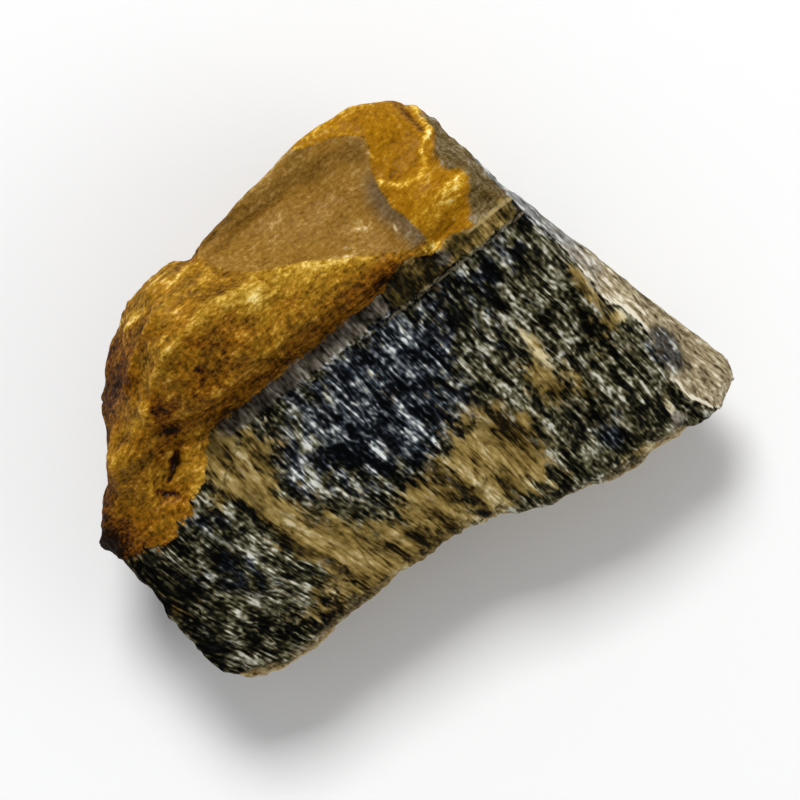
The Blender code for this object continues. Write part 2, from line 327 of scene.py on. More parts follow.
# Relief of the cap: crumbs and chipped bowls, and short waves across its wall; ripples in the scoop
crumbs = 0.09 * grain(points, (1.6, 0.9, 1.2), 6) + 0.07 * grain(points, (0.7, 0.5, 0.6), 7)
crumbs += 0.22 * treads(grain(points, (5.0, 2.6, 3.2), 8), 2) + 0.50 * chips(points, (3.4, 2.2, 2.8), 15)
crumbs += 0.16 * chips(points, (1.3, 0.9, 1.1), 17)
wall = rise(-normals[:, 1], 0.2, 0.5) * on_cap
crumbs += wall * 0.07 * grain(points, (0.6, 2.4, 2.4), 18)
ripples = 0.04 * grain(points, (3.0, 0.9, 1.0), 9) + 0.03 * grain(points, (0.9, 0.9, 0.9), 10)
# Relief of the outer crusts and of the rim
crust = 0.35 * grain(points, (2.6, 2.6, 2.2), 11) + 0.20 * grain(points, (1.0, 1.0, 0.9), 12)
crust += 0.60 * chips(points, (3.2, 3.2, 2.4), 19) + 0.40 * treads(grain(points, (7.0, 7.0, 2.2), 20), 2)
crust -= 0.35
ridges = 0.14 * grain(points, (0.7, 4.0, 0.7), 13) + 0.08 * grain(points, (0.5, 1.4, 0.5), 14)

smooth_cap = np.maximum(np.maximum(scoop, strip), 0.75 * orange)
outside = np.maximum(front, back)
height = (splinters + fibres + snags) * (1 - on_cap)
height += (crumbs * (1 - 0.9 * smooth_cap) + ripples * smooth_cap) * on_cap
height = height * (1 - outside) + crust * outside
height = height * (1 - on_rim) + ridges * on_rim

# Raised at listed places: the lip along the crest, the chipped ledge in the orange patch, the step of
# the left shoulder and a swelling of its edge.  Sunk at listed places: two slits in the shoulder.
CREST_PATH = [(-1.3, 13.6), (1.6, 12.1), (3.2, 11.3), (6.2, 9.6), (7.2, 8.6), (9.8, 7.2)]
CHIP_PATH = [
    (12.0, 13.2), (12.6, 12.4), (13.3, 11.8), (14.8, 11.6), (15.8, 12.1), (16.4, 13.2), (17.8, 14.0),
]
CHIP_SIDE = [(17.8, 14.0), (18.1, 15.2), (18.2, 16.8)]
STEP_PATH = [(-20.4, 9.7), (-19.0, 10.3), (-17.4, 10.0), (-15.8, 10.3), (-14.8, 11.4), (-13.9, 12.4)]
LONG_SLIT = [(-18.0, 4.5), (-17.2, 5.0), (-16.4, 5.6), (-15.8, 6.1)]
SHORT_SLIT = [(-19.2, 4.6), (-18.6, 3.9), (-17.9, 3.2)]
slits = trail(points, LONG_SLIT, [0.10, 0.20, 0.34, 0.20]) + trail(points, SHORT_SLIT, 0.16)
unevenness = 0.5 + 0.8 * rise(grain(points, (1.0, 0.8, 0.8), 16), -0.3, 0.4)
height -= 0.25 * slits * unevenness
height += 0.16 * trail(points, CREST_PATH, 0.4) * upper * unevenness
height += 0.30 * trail(points, CHIP_PATH, 0.32) * upper * unevenness
height += 0.34 * trail(points, CHIP_SIDE, 0.35) * upper * unevenness
height += 0.22 * trail(points, STEP_PATH, 0.4) * upper * unevenness
height += 0.7 * spots(points, (-20.7, 8.8, 1.8, 1.4, 1.0, 45)) * rise(outward, 0.1, 0.6)

# The foot stays flat, and nothing leaves the solid's box
on_table = rise(z, 0.05, 1.2)
moved = points + normals * (height * on_table)[:, None]
low, high = np.array(cad_box) / MM
moved = np.clip(moved, low, high)
skin.vertices.foreach_set("co", (moved * MM).ravel())
skin.update()
skin.shade_smooth()

# ---------------------------------------------------------------- stone: what lies where
# Where the colours of the stone lie, stored on its skin as one number a point: how far the skin
# stands out, for painted highlight and shade with wear and dirt, the parts of the cap and of the rim,
# rust, frost, painted highlights, and stains with painted shade.


def neighbour_mean(values):
    """Mean of each point's neighbours along the skin's edges."""
    ends = np.empty(len(skin.edges) * 2, np.int32)
    skin.edges.foreach_get("vertices", ends)
    a, b = ends.reshape(-1, 2).T
    near = np.bincount(a, minlength=count) + np.bincount(b, minlength=count)
    total = np.bincount(a, values[b], count) + np.bincount(b, values[a], count)
    return total / near


def standing_out(passes):
    """How far each point stands out of the mean of its surroundings, in millimetres."""
    mean = points
    for _ in range(passes):
        mean = np.stack([neighbour_mean(column) for column in mean.T], axis=1)
    return ((points - mean) * normals).sum(axis=1)


def lay(name, values):
    """Store one number for each point of the skin, for the material to read."""
    skin.attributes.new(name, "FLOAT", "POINT").data.foreach_set("value", values.astype(np.float32))


points, normals = read_skin()
# How many rings of neighbours the two means of the surroundings take in
FINE_PASSES = 3
BROAD_PASSES = 18
# How far the skin stands out, finely and broadly.  The material lightens raised edges with it, as wear and
# painted highlight, and darkens hollows, as dirt and painted shade
lay("fine_edge_wear_and_shading", np.clip(standing_out(FINE_PASSES), -0.14, 0.11))
lay("broad_edge_dirt_and_shading", standing_out(BROAD_PASSES))
lay("cap", cap)
# The rim's colour stops short of the underside
lay("rim", np.where(normals[:, 2] > -0.6, rim, rim - 2))
lay("scoop", scoop)
lay("strip", strip)
lay("orange", orange)
lay("grey", grey)
lay("front", front)
lay("back", back)
lay("lean", lean)
lay("wall", wall)
# The mound left of the scoop is pitted, more so in front
pitted = rise(x, -15.0, -12.5) * (1 - rise(x, -4.0, -2.6)) * (1 - 0.6 * rise(y, 13.5, 16.0))
lay("pitted", pitted * on_cap)
lay("steep", 1 - rise(normals[:, 2], 0.15, 0.7))
# The cap's edge is torn along the fibres at the left end
lay("torn", 1 - rise(x, -16.5, -13.0))
# Mauve tint between the scoop and the orange patch
mauve = np.exp(-((np.minimum(x - patch_x, 0) + 0.2) / 1.5) ** 2) * (1 - rise(x - patch_x, -0.2, 0.3))
lay("mauve", mauve * rise(y, 6.4, 7.6) * (1 - 0.75 * rise(y, 12.5, 15.5)))
# Olive patches of the fibre face, where the fibres have begun to rust: a belt that bends down from
# the cap, and ovals from left to right
OLIVE_BELT = [
    (-13.0, 5.6), (-13.4, 3.0), (-12.8, 0.0), (-12.4, -3.0), (-11.6, -6.0), (-9.8, -8.8), (-8.0, -14.2),
]
olive = trail(points, OLIVE_BELT, [2.4, 2.1, 1.6, 1.5, 2.2, 2.4, 2.2])
olive += spots(
    points,
    (-24.6, -3.0, 1.1, 5.4, 0.5, 0), (-15.6, 0.8, 1.6, 1.8, 0.5, 0), (-14.2, -11.8, 2.8, 2.2, 0.55, 0),
    (-10.4, 1.8, 1.1, 2.2, 0.8, 0), (-9.2, -12.4, 1.2, 2.2, 0.5, 0), (-8.6, 1.6, 0.9, 1.4, 0.4, 0),
    (-5.4, -12.0, 2.2, 2.6, 0.7, 0), (-4.0, -13.8, 6.0, 1.4, 0.4, 0), (-1.6, -11.2, 2.2, 2.8, 1.0, 0),
    (0.4, -8.6, 1.2, 1.0, 0.4, 0), (3.2, -11.4, 2.3, 3.9, 1.1, 0), (7.1, -11.2, 2.3, 4.2, 1.1, 0),
    (12.4, -8.8, 1.2, 2.4, 1.0, 0), (13.7, -5.5, 0.7, 2.6, 0.5, 0), (14.6, -10.4, 1.0, 2.4, 0.5, 0),
    (15.6, -18.6, 1.6, 0.6, 1.0, -10), (19.2, -8.0, 1.8, 5.0, 0.28, 0), (20.2, -4.6, 0.5, 2.2, 1.1, 0),
    (20.5, -8.3, 1.1, 0.7, 0.7, 0),
)
lay("olive", olive)
# Blue-black heart of the fibre face and other places where it is fresh
blue = spots(
    points, (1.4, 0.4, 10.0, 4.4, 1.1, 0), (-0.4, -5.2, 5.4, 3.0, 0.9, 0), (16.5, 1.5, 3.4, 2.0, 0.5, 0),
    (13.8, -16.2, 1.4, 1.0, 0.9, 0), (22.3, -13.2, 1.6, 2.4, 1.2, 15), (-18.0, -3.4, 3.2, 4.2, 0.55, 0),
)
lay("blue", blue)
# Slate patches that show through the rim
slate = spots(
    points, (22.0, -13.8, 1.1, 1.7, 1.4, 10), (22.9, -12.0, 0.8, 1.5, 1.2, 20),
    (20.9, 2.6, 0.4, 1.6, 0.6, 10),
)
lay("slate", slate)
# The mauve veil along the seam, and the mossy shelf beside it with a bare place in the middle
BARE_PLACE = (12.2, 4.9, 1.0, 0.8, 0.9, 0)
veil = rise(y, 3.9, 4.7) * (1 - rise(y, 5.8, 6.2)) * rise(x, -13.0, -10.5) * (1 - rise(x, 5.0, 7.0))
lay("veil", veil + spots(points, BARE_PLACE, (19.4, -18.4, 0.9, 0.6, 0.9, 0)))
moss = rise(y, 3.6, 4.2) * rise(x, 5.5, 7.0) * (1 - rise(rim, -0.3, 0.1))
lay("moss", moss * (1 - spots(points, BARE_PLACE)))
# Frosted white clusters and light hairs, from left to right: left of the olive belt, in the
# blue-black heart, and right of it
frost = spots(
    points,
    (-21.6, -6.0, 0.3, 1.2, 0.5, 0), (-19.5, -1.6, 0.3, 1.2, 0.8, 0), (-17.6, -2.4, 0.9, 1.6, 0.4, 0),
    (-16.8, -4.4, 0.8, 1.4, 0.5, 0), (-15.4, -4.6, 0.7, 1.6, 0.5, 0), (-14.9, 0.6, 0.3, 0.9, 0.6, 0),
)
frost += spots(
    points,
    (-8.9, -1.6, 0.9, 0.5, 0.7, 0), (-7.9, -0.9, 1.4, 0.45, 1.2, 28), (-7.9, -2.8, 0.35, 1.3, 1.2, 0),
    (-6.0, 1.0, 1.2, 3.0, 0.75, 0), (-6.0, -0.2, 0.5, 0.6, 1.1, 30), (-5.4, -3.6, 0.3, 1.6, 0.7, 0),
    (-3.4, -2.2, 0.3, 0.9, 0.7, 0), (-3.2, -0.8, 0.6, 0.5, 0.6, 0), (-1.6, 1.6, 0.3, 0.7, 1.1, 15),
    (-1.3, -6.4, 0.45, 0.7, 1.0, 0), (0.2, 3.7, 3.4, 0.8, 0.6, 0), (0.3, 2.6, 0.25, 1.1, 1.3, 12),
    (0.6, -5.5, 0.7, 0.7, 1.1, 30), (1.7, -5.0, 0.35, 2.6, 0.9, 4), (4.0, 1.5, 1.1, 0.5, 0.9, 0),
    (6.2, 2.7, 0.5, 1.0, 1.2, -10), (6.2, -2.2, 0.25, 1.2, 1.1, 0), (6.4, 3.8, 1.8, 0.8, 0.65, 0),
    (6.4, 1.0, 0.4, 0.8, 1.0, 20),
)
frost += spots(
    points,
    (8.0, -3.4, 0.3, 2.0, 1.0, -6), (9.0, -6.2, 0.5, 2.2, 0.9, -6), (11.2, -5.0, 0.22, 2.8, 0.9, 4),
    (12.0, -16.8, 0.35, 0.9, 1.1, 0), (12.9, -14.0, 0.3, 1.6, 0.9, 0), (13.4, -2.6, 0.8, 0.5, 1.2, 20),
    (14.9, -12.8, 0.5, 1.4, 0.9, 30), (16.3, -5.4, 0.3, 1.6, 0.6, 0), (17.6, -4.8, 0.8, 0.7, 0.8, 0),
    (18.1, 3.6, 1.1, 1.6, 0.9, 0), (19.3, -1.6, 0.3, 1.4, 0.6, 0), (21.6, -14.6, 0.5, 0.4, 1.0, 20),
    (22.4, -11.6, 0.5, 0.5, 1.0, 0),
)
lay("frost", frost)
# Painted highlights, lemon glints of the cap: along its raised lines, on the mound, then from the
# scoop to the rim
painted_highlights = 0.6 * trail(points, CREST_PATH, 0.5) + trail(points, CHIP_PATH, 0.3)
painted_highlights += 1.3 * trail(points, CHIP_SIDE, 0.35) + 0.5 * trail(points, STEP_PATH, 0.5)
painted_highlights += spots(
    points,
    (-21.6, 9.0, 0.8, 0.4, 0.6, 40), (-20.6, 2.0, 1.2, 0.7, 0.4, 0), (-16.2, 3.0, 2.4, 1.6, 0.3, 0),
    (-13.0, 9.0, 0.3, 1.4, 0.4, 0), (-12.8, 17.7, 1.3, 0.14, 2.0, 0), (-11.8, 17.0, 1.2, 0.14, 1.6, 0),
    (-11.6, 17.2, 1.6, 0.3, 0.9, 5), (-11.0, 13.0, 1.0, 0.6, 0.6, 0), (-8.0, 18.5, 1.4, 0.16, 1.4, 0),
    (-8.0, 14.6, 3.4, 0.9, 0.4, 0), (-6.6, 17.5, 1.0, 0.14, 1.6, 8), (-6.6, 17.4, 2.2, 0.4, 0.7, 0),
    (-4.8, 13.4, 0.8, 0.4, 0.8, 0), (-4.4, 16.0, 0.9, 0.5, 0.8, 0), (-2.4, 11.9, 0.7, 1.0, 1.3, 0),
)
painted_highlights += spots(
    points,
    (2.0, 15.9, 2.4, 0.4, 0.4, 0), (2.6, 16.2, 0.3, 0.2, 1.2, 0), (3.5, 16.3, 0.3, 0.2, 1.2, 0),
    (4.5, 14.7, 1.8, 0.10, 0.8, 0), (7.2, 10.2, 0.8, 0.12, 1.3, 15), (8.2, 11.3, 1.2, 0.10, 1.2, -30),
    (8.4, 12.0, 0.9, 0.10, 0.8, -20), (8.6, 11.2, 1.5, 0.5, 0.7, -25), (9.5, 11.6, 0.6, 0.10, 1.2, 0),
    (9.6, 14.5, 0.25, 0.15, 1.2, 0), (10.5, 9.45, 0.4, 0.14, 3.0, 0), (12.2, 18.3, 0.9, 0.4, 0.8, -40),
    (12.2, 6.2, 0.7, 0.35, 1.4, 0), (12.6, 15.5, 0.4, 0.4, 1.0, 0), (12.7, 15.7, 0.3, 0.25, 1.2, -40),
    (16.6, 8.9, 1.0, 0.14, 1.2, 4), (17.0, 9.5, 1.1, 0.16, 1.6, -6), (17.0, 9.2, 1.5, 0.6, 1.0, 0),
)
lay("painted_highlights", painted_highlights * on_cap)
# Stains of the cap and painted shade in its hollows, darker than the rest: the left shoulder and
# flank, which turn away from the light, then the others
stain_and_shade = spots(
    points,
    (-25.4, 3.6, 1.2, 2.8, 2.8, 0), (-23.4, 3.6, 1.6, 1.5, 0.6, 0), (-22.9, 7.0, 0.8, 2.4, 0.9, -45),
    (-18.4, 3.0, 1.4, 1.2, 0.5, 0), (-18.0, 13.4, 1.2, 3.4, 1.0, -35), (-17.6, 8.0, 1.8, 1.2, 0.4, -10),
    (-16.6, 6.9, 1.0, 0.5, 0.5, 25), (-15.8, 14.0, 1.8, 1.1, 1.2, 45), (-15.2, 13.9, 1.0, 1.4, 0.4, -35),
    (-14.9, 8.4, 0.9, 1.8, 1.0, 0), (-14.6, 16.4, 2.6, 0.8, 0.7, 35), (-14.4, 9.9, 0.9, 1.4, 0.7, 0),
    (-13.3, 9.6, 0.6, 0.5, 0.5, 0), (-12.4, 15.4, 1.9, 1.0, 0.5, 0),
)
stain_and_shade += spots(
    points,
    (-11.2, 10.6, 0.45, 0.3, 0.6, 0), (-10.8, 8.4, 2.4, 1.3, 0.6, 0), (-9.8, 10.2, 0.5, 0.28, 0.8, -60),
    (-8.6, 11.9, 0.8, 0.18, 1.1, -55), (-7.8, 10.6, 4.0, 2.4, 0.3, 0), (-7.6, 11.3, 0.7, 0.16, 0.9, -50),
    (-6.4, 10.5, 0.4, 0.28, 0.6, 0), (-5.6, 9.5, 0.4, 0.25, 0.6, -60), (-2.0, 19.0, 2.2, 0.7, 1.6, 8),
    (6.0, 6.9, 3.6, 0.8, 0.6, -8), (12.2, 15.6, 0.9, 1.1, 0.4, 0), (16.8, 15.6, 0.5, 1.2, 0.6, 0),
    (19.0, 7.2, 1.3, 1.0, 0.9, 0),
)
# Dark places of the fibre face and the rim, from left to right
stain_and_shade += spots(
    points,
    (-24.8, -3.4, 1.0, 5.0, 0.6, 0), (-24.4, -9.0, 1.2, 2.4, 0.6, 0), (-22.6, -3.0, 2.6, 5.6, 0.8, 0),
    (-21.0, -6.0, 1.4, 2.8, 0.6, 0), (-18.6, -11.0, 2.2, 1.4, 1.1, -20), (-15.0, -6.2, 1.4, 1.2, 0.6, 0),
    (-13.6, -3.6, 0.5, 2.4, 0.4, 10), (-13.2, -12.4, 2.8, 1.8, 0.7, 0), (-12.2, -2.0, 1.1, 2.2, 0.9, 0),
    (-9.3, 0.9, 1.2, 1.6, 0.6, 0), (-5.2, -2.4, 1.2, 1.6, 0.6, 0), (-4.6, -13.4, 2.6, 1.6, 0.8, 0),
    (-3.4, -8.4, 1.9, 3.0, 0.7, 0), (-2.6, -11.8, 2.2, 2.2, 0.8, 0), (2.0, -1.2, 1.4, 1.0, 0.5, 0),
    (4.8, -5.0, 3.0, 1.7, 0.5, 0), (5.0, -1.2, 1.2, 1.6, 0.4, 0), (8.8, 5.4, 1.6, 1.0, 1.1, 0),
    (9.0, 1.0, 2.2, 2.8, 1.1, 0), (9.0, -3.8, 1.4, 1.6, 0.9, 0), (10.0, -14.5, 1.0, 2.0, 0.6, 0),
    (12.0, -6.2, 1.2, 1.4, 0.7, 0), (14.0, 5.4, 1.0, 0.9, 1.8, 0), (17.4, -13.5, 1.4, 2.6, 0.4, 0),
    (19.2, 2.0, 0.8, 1.6, 0.5, 0), (21.2, -18.6, 0.8, 0.6, 1.6, 0), (22.6, -13.0, 0.9, 1.8, 0.8, 15),
)
# Places that are lighter than the rest: on the cap, then on the fibre face and the rim
stain_and_shade -= spots(
    points,
    (-2.6, 11.8, 1.3, 1.8, 0.5, 0), (3.0, 10.8, 5.6, 1.0, 0.4, -12), (12.6, 6.2, 2.2, 0.5, 0.9, 0),
    (15.0, 8.4, 1.7, 1.1, 0.9, 0),
)
stain_and_shade -= spots(
    points,
    (-18.4, -8.6, 1.4, 1.5, 0.6, 0), (-18.0, -5.8, 1.2, 1.2, 0.5, 0), (-15.0, -2.8, 1.3, 2.2, 1.3, 0),
    (-15.0, -10.0, 1.2, 2.2, 1.4, 0), (-9.0, 3.7, 1.4, 1.0, 0.9, 0), (-9.0, -10.8, 1.4, 1.5, 1.0, 0),
    (-5.9, -0.8, 1.0, 1.6, 0.9, 0), (4.5, 3.6, 2.4, 0.8, 0.7, 0), (9.0, -8.0, 1.2, 1.8, 0.5, 0),
    (9.0, -10.4, 1.2, 2.8, 1.8, 0), (12.0, -15.4, 4.0, 1.4, 0.8, 0), (12.2, -8.2, 1.4, 1.9, 0.8, 0),
    (12.8, -14.4, 2.6, 1.4, 0.6, 0), (15.0, -6.0, 1.2, 1.2, 0.4, 0), (18.0, 3.6, 1.0, 1.0, 0.7, 0),
    (18.0, -18.4, 1.4, 1.0, 0.9, 0), (21.2, -10.0, 0.5, 2.4, 1.2, 0), (21.7, -8.5, 0.8, 5.0, 1.1, 0),
)
# A dark crack behind the orange patch, painted shade at the foot of the cap's wall, and painted
# shadow in the slits
CRACK_PATH = [(17.2, 18.4), (17.4, 16.5), (17.5, 14.4)]
stain_and_shade += 1.3 * trail(points, CRACK_PATH, 0.22) * on_cap
shade_at_wall_foot = rise(cap, -0.2, 0.2) * (1 - rise(cap, 0.6, 2.6)) * rise(x, -14.0, -11.0) * (1 - rise(x, 8.0, 11.0))
lay("stain_and_shade", stain_and_shade + 0.5 * shade_at_wall_foot + 1.2 * slits)

# ---------------------------------------------------------------- stone: material
# Quartz that has replaced blue asbestos fibres: blue-black where it is fresh, golden where its
# iron has rusted.  Colours are given as screen values of 0 to 255.


class Shade:
    """A socket of the stone's material.  Sums, products and the like add their Math nodes."""

    tree = None

    def __init__(self, socket):
        self.socket = socket

    @classmethod
    def node(cls, kind, inputs, output=0, stops=(), **settings):
        """A new node: its settings and ramp stops first, then the values or links of its sockets."""
        made = cls.tree.nodes.new(kind)
        for name, value in settings.items():
            setattr(made, name, value)
        if stops:
            ramp = made.color_ramp
            while len(ramp.elements) < len(stops):
                ramp.elements.new(1.0)
            for element, (place, colour) in zip(ramp.elements, stops):
                element.position = place
                element.color = colour
        for key, value in inputs.items():
            if isinstance(value, cls):
                cls.tree.links.new(value.socket, made.inputs[key])
            else:
                made.inputs[key].default_value = value
        return cls(made.outputs[output])

    def math(self, operation, *others):
        """A Math node with this socket first."""
        return Shade.node("ShaderNodeMath", dict(enumerate((self, *others))), operation=operation)

    def __add__(self, other):
        return self.math("ADD", other)

    def __mul__(self, other):
        return self.math("MULTIPLY", other)

    def __sub__(self, other):
        return self.math("SUBTRACT", other)

    def __rsub__(self, other):
        return Shade.node("ShaderNodeMath", {0: other, 1: self}, operation="SUBTRACT")

    __radd__ = __add__
    __rmul__ = __mul__

    def between(self, low, high):
        """0 below low, 1 above high, smooth between."""
        ends = {0: self, 1: low, 2: high, 3: 0.0, 4: 1.0}
        return Shade.node("ShaderNodeMapRange", ends, interpolation_type="SMOOTHSTEP")


def screen(red, green, blue):
    """A screen colour of 0 to 255 as the linear colour that a shader takes."""
    share = np.array([red, green, blue]) / 255
    linear = np.where(share <= 0.04045, share / 12.92, ((share + 0.055) / 1.055) ** 2.4)
    return (*map(float, linear), 1.0)


def mixed(share, first, second):
    """The first colour where share is 0, the second where it is 1."""
    return Shade.node("ShaderNodeMix", {0: share, 6: first, 7: second}, output=2, data_type="RGBA")


def tones(value, *stops):
    """A colour ramp from (place, colour) stops."""
    return Shade.node("ShaderNodeValToRGB", {0: value}, stops=[(p, screen(*c)) for p, c in stops])


def laid(name):
    """A number that was laid on the skin."""
    return Shade.node("ShaderNodeAttribute", {}, output=2, attribute_name=name)


def vector(operation, first, second):
    """A vector sum or product with three plain numbers or another vector."""
    return Shade.node("ShaderNodeVectorMath", {0: first, 1: second}, operation=operation)


def speckle(place, cell, detail, seed):
    """Noise of about -0.3 to 0.3 round 0, with a cell size in millimetres for each axis."""
    cells = vector("MULTIPLY", place, tuple(1 / size for size in cell))
    moved = vector("ADD", cells, (seed * 3.7, seed * 5.3, seed * 2.9))
    noise = {"Vector": moved, "Scale": 1.0, "Detail": detail, "Roughness": 0.6}
    return Shade.node("ShaderNodeTexNoise", noise) - 0.5


# Where along Y the two painted highlight lines beside the seam run, in millimetres, how the rim's
# streaks lean, and how high the finest grain stands, in metres
LEDGE_LINE = 3.72
SHELF_LINE = 5.40
RIM_LEAN = math.radians(-15)
GRAIN_HEIGHT = 0.00016


def tigers_eye():
    """The stone's whole surface: fibres, golden cap, scoop, rim and crusts, mixed by place."""
    material = bpy.data.materials.new("tigers_eye")
    material.use_nodes = True
    Shade.tree = material.node_tree
    shader = material.node_tree.nodes["Principled BSDF"]
    object_coordinates = 3
    metres = Shade.node("ShaderNodeTexCoord", {}, output=object_coordinates)
    place = Shade.node("ShaderNodeVectorMath", {0: metres, "Scale": 1 / MM}, operation="SCALE")
    # a slow wander bends the patterns, so that nothing runs quite straight
    slow = {"Vector": vector("MULTIPLY", place, (0.16, 0.16, 0.16)), "Scale": 1.0, "Detail": 1.0}
    wander = vector("SUBTRACT", Shade.node("ShaderNodeTexNoise", slow, output=1), (0.5, 0.5, 0.5))
    bent = vector("ADD", place, vector("MULTIPLY", wander, (1.6, 1.6, 1.6)))
    threads = vector("ADD", place, vector("MULTIPLY", wander, (0.6, 0.6, 0.6)))
    threads = vector("ADD", threads, Shade.node("ShaderNodeCombineXYZ", {0: laid("lean")}))
    # How far the skin stands out: raised edges lighter, as wear and painted highlight, and hollows darker,
    # as dirt and painted shade, in every tone below
    fine_edge_wear_and_shading = laid("fine_edge_wear_and_shading")
    broad_edge_dirt_and_shading = laid("broad_edge_dirt_and_shading")

    # fibres: columns, streaks and grains, brighter in the frosted clusters, and broad slabs where
    # they have rusted.  A bright hair or a dark gap runs wherever a long noise crosses its middle.
    columns = speckle(threads, (0.95, 3.8, 1.2), 2.0, 1)
    streaks = speckle(threads, (0.36, 2.0, 0.60), 1.0, 2)
    grains = speckle(threads, (0.32, 0.50, 0.32), 0.0, 3)
    clumps = speckle(place, (2.2, 3.0, 2.2), 2.0, 4)
    hairs = 1.0 - speckle(threads, (0.70, 7.0, 1.6), 1.0, 12).math("ABSOLUTE").between(0.01, 0.09)
    gaps = 1.0 - speckle(threads, (0.60, 6.0, 1.4), 1.0, 13).math("ABSOLUTE").between(0.01, 0.08)
    # The fibres' tone: raised edges lighter, as wear and painted highlight, hollows darker, as dirt and
    # painted shade, and stained places darker, partly as painted shade
    glint = columns * 0.9 + streaks * 0.9 + grains * 0.55 + clumps * 0.7 + laid("frost") * 0.25
    glint = glint + hairs * (clumps * 0.9 + grains * 0.4 + 0.14) - gaps * (0.12 - clumps * 0.4)
    glint = glint + fine_edge_wear_and_shading * 0.75 + broad_edge_dirt_and_shading * 0.20 + 0.435 - laid("stain_and_shade") * 0.15
    slabs = speckle(threads, (1.6, 12.0, 2.4), 0.0, 17)
    # The rusted tone: raised edges lighter, as wear and painted highlight; in it and in the tones below,
    # stained places are darker, partly as painted shade
    grit = columns * 0.7 + slabs * 1.1 + streaks * 0.55 + grains * 0.30 + clumps * 0.4
    grit = grit - gaps * (0.14 - columns * 0.9) + hairs * 0.05 + fine_edge_wear_and_shading * 0.8 + 0.50
    fresh = tones(
        glint, (0.18, (1, 2, 3)), (0.34, (12, 15, 20)), (0.48, (37, 43, 50)), (0.62, (78, 84, 88)),
        (0.76, (128, 133, 133)), (0.98, (212, 216, 212)),
    )
    dull = tones(
        glint, (0.18, (1, 1, 0)), (0.34, (19, 19, 9)), (0.48, (51, 48, 28)), (0.62, (89, 85, 62)),
        (0.76, (130, 127, 106)), (0.98, (196, 195, 180)),
    )
    rusty = tones(
        grit - laid("stain_and_shade") * 0.15, (0.12, (22, 17, 5)), (0.28, (72, 57, 22)), (0.44, (114, 94, 46)),
        (0.60, (140, 118, 64)), (0.76, (166, 145, 94)), (0.94, (210, 195, 152)),
    )
    hazy = glint * 0.6 + clumps * 0.4 + 0.2
    haze = tones(hazy, (0.20, (32, 27, 18)), (0.45, (84, 76, 65)), (0.70, (132, 124, 113)))
    mossy = grit * 0.5 + glint * 0.4 + 0.06 - laid("stain_and_shade") * 0.12
    green = tones(
        mossy, (0.22, (16, 13, 3)), (0.44, (62, 51, 20)), (0.60, (104, 86, 42)), (0.78, (146, 122, 66)),
        (0.95, (178, 154, 96)),
    )
    tint = speckle(place, (3.0, 4.5, 3.0), 3.0, 5)
    hue = speckle(bent, (0.7, 1.4, 0.7), 2.0, 10)
    fibre = mixed((laid("blue") + tint * 2.0 + hue * 1.8).between(0.20, 0.80), dull, fresh)
    olive = laid("olive") + tint * 0.9 + streaks * 0.9 + columns * 0.8 + hue * 1.2
    fibre = mixed(olive.between(0.26, 0.74), fibre, rusty)
    fibre = mixed((laid("veil") + streaks * 1.2 + clumps * 0.8).between(0.15, 0.75) * 0.9, fibre, haze)
    fibre = mixed((laid("moss") + streaks * 0.6).between(0.20, 0.80), fibre, green)
    # two thin painted highlights: along the ledge's edge, and under the orange patch near the rim
    along = Shade.node("ShaderNodeSeparateXYZ", {0: place}, output=0)
    depth = Shade.node("ShaderNodeSeparateXYZ", {0: place}, output=1)
    level = 1.0 - laid("steep")
    patchy = (streaks + 0.5).between(0.30, 0.55)
    ledge_highlight = 1.0 - (depth - LEDGE_LINE + clumps * 0.5).math("ABSOLUTE").between(0.05, 0.20)
    fibre = mixed(ledge_highlight * along.between(1.0, 9.0) * patchy * level * 0.75, fibre, screen(148, 134, 104))
    shelf_highlight = 1.0 - (depth - SHELF_LINE + clumps * 0.4).math("ABSOLUTE").between(0.08, 0.30)
    fibre = mixed(shelf_highlight * along.between(14.6, 15.6) * level * 0.8, fibre, screen(186, 162, 108))

    # cap: waxy gold and rust with painted lemon highlights
    clouds = speckle(bent, (2.4, 1.3, 1.8), 4.0, 6)
    flecks = speckle(bent, (0.45, 0.30, 0.35), 2.0, 7)
    silk = speckle(bent, (2.2, 0.34, 0.6), 3.0, 8)
    runs = speckle(bent, (0.45, 2.2, 2.2), 2.0, 14)
    dimples = speckle(bent, (1.1, 0.8, 0.9), 2.0, 15)
    # The cap's tone: raised edges lighter and hollows darker, as wear, dirt, painted highlight and painted
    # shade, painted highlights of the glints, and stained places darker, partly as painted shade
    wax = clouds * 0.60 + flecks * 0.90 + silk * 0.15 + fine_edge_wear_and_shading * 1.0 + broad_edge_dirt_and_shading * 0.10
    wax = wax + runs * laid("wall") * 0.4 + dimples * laid("pitted") * 0.35
    wax = wax + 0.50 + laid("painted_highlights") * 0.17 - laid("stain_and_shade") * 0.17
    gold = tones(
        wax, (0.16, (28, 17, 2)), (0.32, (88, 57, 5)), (0.50, (138, 99, 18)), (0.64, (170, 130, 36)),
        (0.78, (212, 174, 76)), (0.94, (248, 226, 150)),
    )
    rust = tones(
        wax, (0.16, (24, 11, 1)), (0.32, (82, 44, 3)), (0.50, (128, 80, 10)), (0.64, (160, 108, 20)),
        (0.78, (202, 156, 58)), (0.94, (246, 214, 130)),
    )
